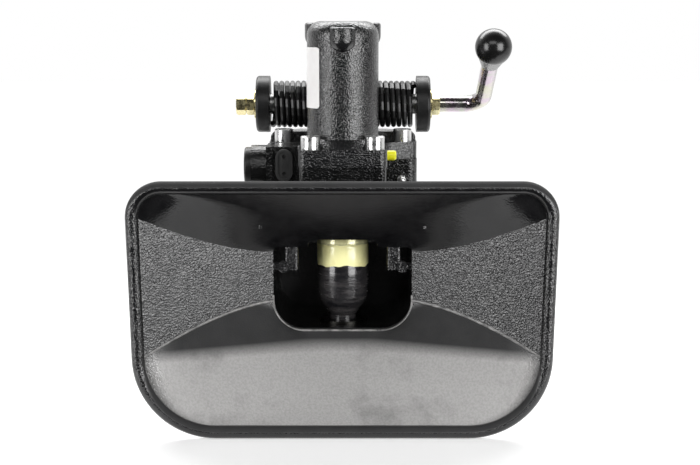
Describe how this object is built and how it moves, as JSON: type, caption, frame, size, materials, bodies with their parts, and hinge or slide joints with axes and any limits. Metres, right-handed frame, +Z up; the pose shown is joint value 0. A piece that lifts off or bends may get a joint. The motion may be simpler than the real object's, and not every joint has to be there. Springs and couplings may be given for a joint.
{
  "type": "pin trailer coupling",
  "caption": "Automatic pin trailer coupling with a flared catch jaw, a spring-closed lifting pin under an upright tower, a side hand lever and a bolted flange with a rubber-sprung shank.",
  "frame": {"origin": "centre of the flange bolt pattern, on the mounting face", "axes": "+Y along the shank into the vehicle, +X to the hand lever side, +Z up along the coupling pin"},
  "size_m": [0.3788, 0.418, 0.368],
  "materials": {
    "cast_black": "rough cast, black paint",
    "zinc_yellow": "yellow chromated zinc",
    "zinc_bright": "bright zinc",
    "spring_steel": "black coated spring steel",
    "pin_steel": "hardened steel, greased",
    "bush_steel": "hardened steel bush",
    "bush_bronze": "sintered bronze",
    "black_cap": "black gloss",
    "rubber_black": "matt",
    "knob_black": "gloss",
    "plug_yellow": "satin",
    "label_white": "satin",
    "inner_steel": "machined"
  },
  "bodies": {
    "mounting": {"flange_housing": "cast_black", "front_bush": "bush_bronze", "rear_bush": "bush_bronze", "front_buffer": "rubber_black", "rear_buffer": "rubber_black"},
    "head": {"catch_jaw": "cast_black", "coupling_body": "cast_black", "mechanism_tower": "cast_black", "jaw_bolts": "zinc_bright", "front_tower_screws": "zinc_bright", "rear_tower_screws": "zinc_bright", "grease_nipple": "zinc_bright", "upper_bush": "bush_steel", "lower_bush": "bush_steel", "left_shaft_bush": "bush_bronze", "right_shaft_bush": "bush_bronze", "left_torsion_spring": "spring_steel", "right_torsion_spring": "spring_steel", "lock_cap": "black_cap", "lock_spring": "spring_steel", "oval_cover": "rubber_black", "port_plug": "plug_yellow", "blank_label": "label_white", "trigger_pivot": "inner_steel", "front_thrust_washer": "inner_steel", "rear_thrust_plate": "inner_steel", "castle_nut": "zinc_bright", "split_pin": "zinc_bright"},
    "release": {"release_shaft": "inner_steel", "lift_crank": "inner_steel", "crank_key": "inner_steel", "lift_pin": "inner_steel", "left_spring_cap": "black_cap", "right_spring_cap": "black_cap", "left_washer": "zinc_yellow", "right_washer": "zinc_yellow", "left_lock_nut": "zinc_yellow", "right_lock_nut": "zinc_yellow", "end_bolt": "zinc_yellow", "lever_rod": "zinc_yellow", "lever_knob": "knob_black"},
    "pin": {"coupling_pin": "pin_steel"},
    "lock": {"lock_plunger": "inner_steel"},
    "trigger": {"trigger_lever": "inner_steel"}
  },
  "joints": [
    {"name": "head_swivel", "type": "hinge", "parent": "mounting", "child": "head", "pos_m": [0, 0, 0], "axis": [0, 1, 0], "range_deg": [-25, 25]},
    {"name": "lever_turn", "type": "hinge", "parent": "head", "child": "release", "pos_m": [0, -0.083, 0.163], "axis": [-1, 0, 0], "range_deg": [0, 63], "stiffness_Nm_per_rad": 4, "springref_deg": -28.65, "deforming": ["left_torsion_spring", "right_torsion_spring"]},
    {"name": "pin_lift", "type": "slide", "parent": "head", "child": "pin", "axis": [0, 0, 1], "range_m": [0, 0.092]},
    {"name": "lock_slide", "type": "slide", "parent": "head", "child": "lock", "axis": [1, 0, 0], "range_m": [0, 0.004], "deforming": ["lock_spring"]},
    {"name": "trigger_swing", "type": "hinge", "parent": "head", "child": "trigger", "pos_m": [0, -0.081, 0.08], "axis": [1, 0, 0], "range_deg": [0, 9], "stiffness_Nm_per_rad": 2, "springref_deg": -11.46}
  ],
  "couplings": [
    {"joint": "pin_lift", "follows": "lever_turn", "m_per_rad": 0.083629}
  ]
}
